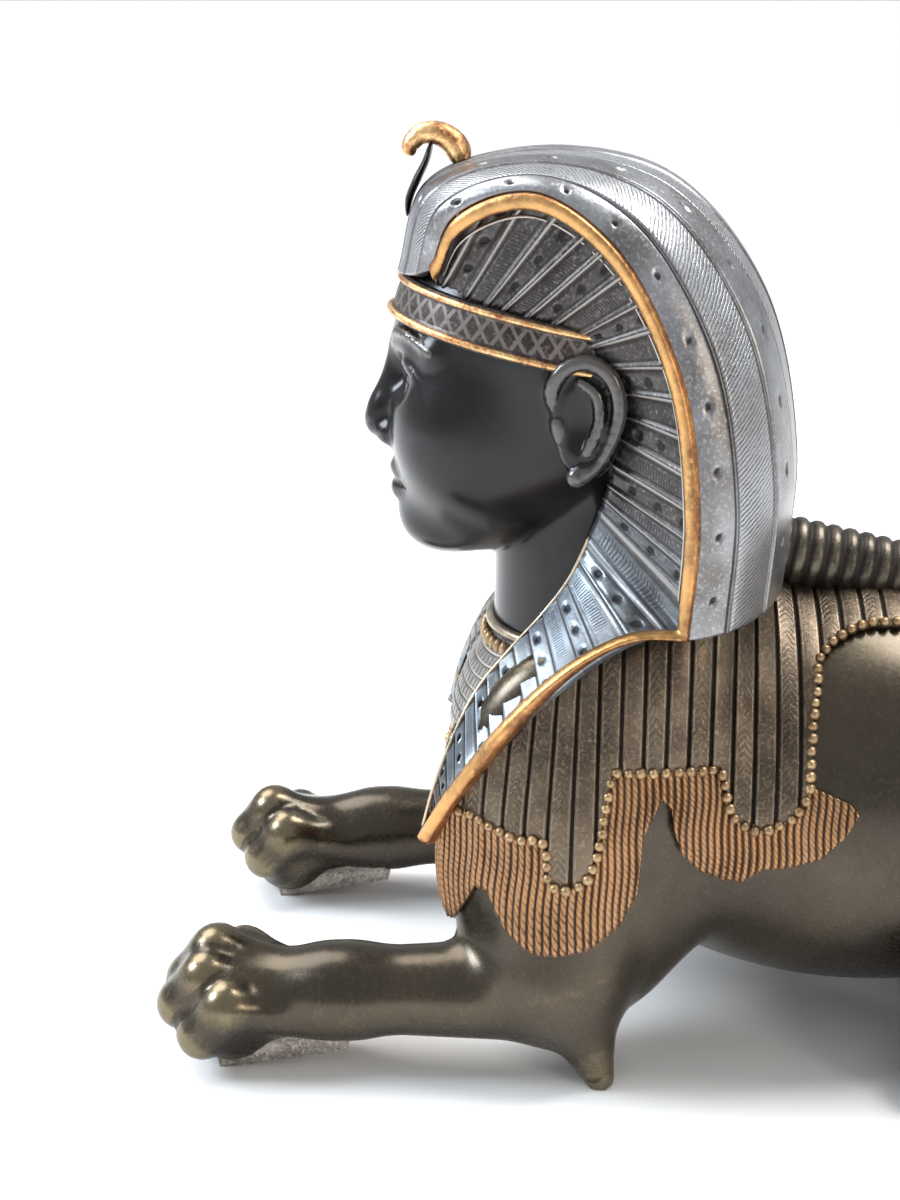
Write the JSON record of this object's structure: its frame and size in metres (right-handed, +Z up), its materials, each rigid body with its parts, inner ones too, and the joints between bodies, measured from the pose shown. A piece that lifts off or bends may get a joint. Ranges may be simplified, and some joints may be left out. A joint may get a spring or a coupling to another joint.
{
  "type": "sphinx statue",
  "caption": "Recumbent bronze sphinx with a lion's body, a calm human head in a striped head-cloth with a raised cobra, and a fringed cloth on the shoulders",
  "frame": {"origin": "on the ground under the middle of the statue's bounding box", "axes": "+Z up, the figure faces -Y, +X is its left side; +Y is the longest extent and +X the shortest"},
  "size_m": [0.1224, 0.3267, 0.2156],
  "materials": {
    "bronze": "dark patinated cast bronze with rubbed and gilt highlights"
  },
  "bodies": {
    "root": {"sphinx": "bronze"}
  },
  "joints": []
}
